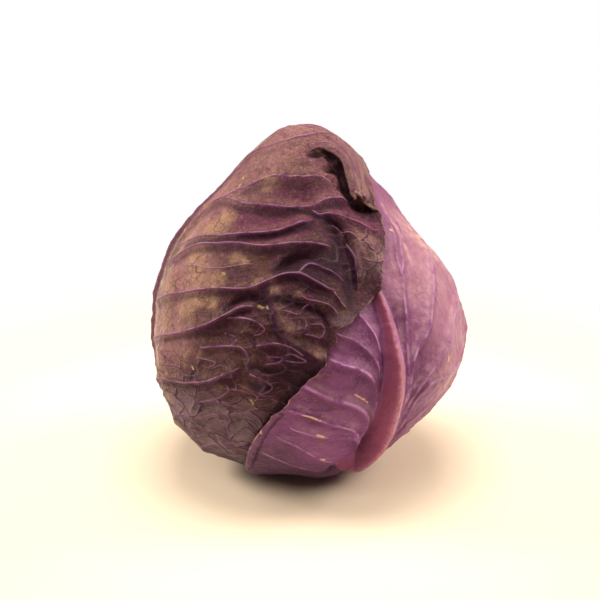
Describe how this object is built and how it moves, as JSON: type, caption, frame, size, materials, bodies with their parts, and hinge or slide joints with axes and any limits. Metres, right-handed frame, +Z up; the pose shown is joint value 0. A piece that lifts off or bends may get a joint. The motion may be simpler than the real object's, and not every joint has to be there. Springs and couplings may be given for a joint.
{
  "type": "red cabbage head",
  "caption": "Pointed round head of red cabbage: broad wrapper leaves folded over a tight heart, standing on its cut stem.",
  "frame": {"origin": "centre of the stem's cut face, on which the head stands", "axes": "+Z up from the cut stem through the crown, -Y towards the front, where the two outermost leaves overlap"},
  "size_m": [0.1537, 0.1581, 0.1692],
  "materials": {
    "outer_leaf": "half-wilted bronzed purple leaf, low waxy sheen",
    "leaf": "fresh mauve-purple leaf with a waxy sheen",
    "heart_leaves": "tight inner leaves, waxy",
    "stem": "cut fibrous stem, dry"
  },
  "bodies": {
    "root": {"cut_stem": "stem", "heart": "heart_leaves", "leaf_1": "outer_leaf", "leaf_2": "leaf", "leaf_3": "leaf", "leaf_4": "leaf", "leaf_5": "leaf", "leaf_6": "leaf"}
  },
  "joints": []
}
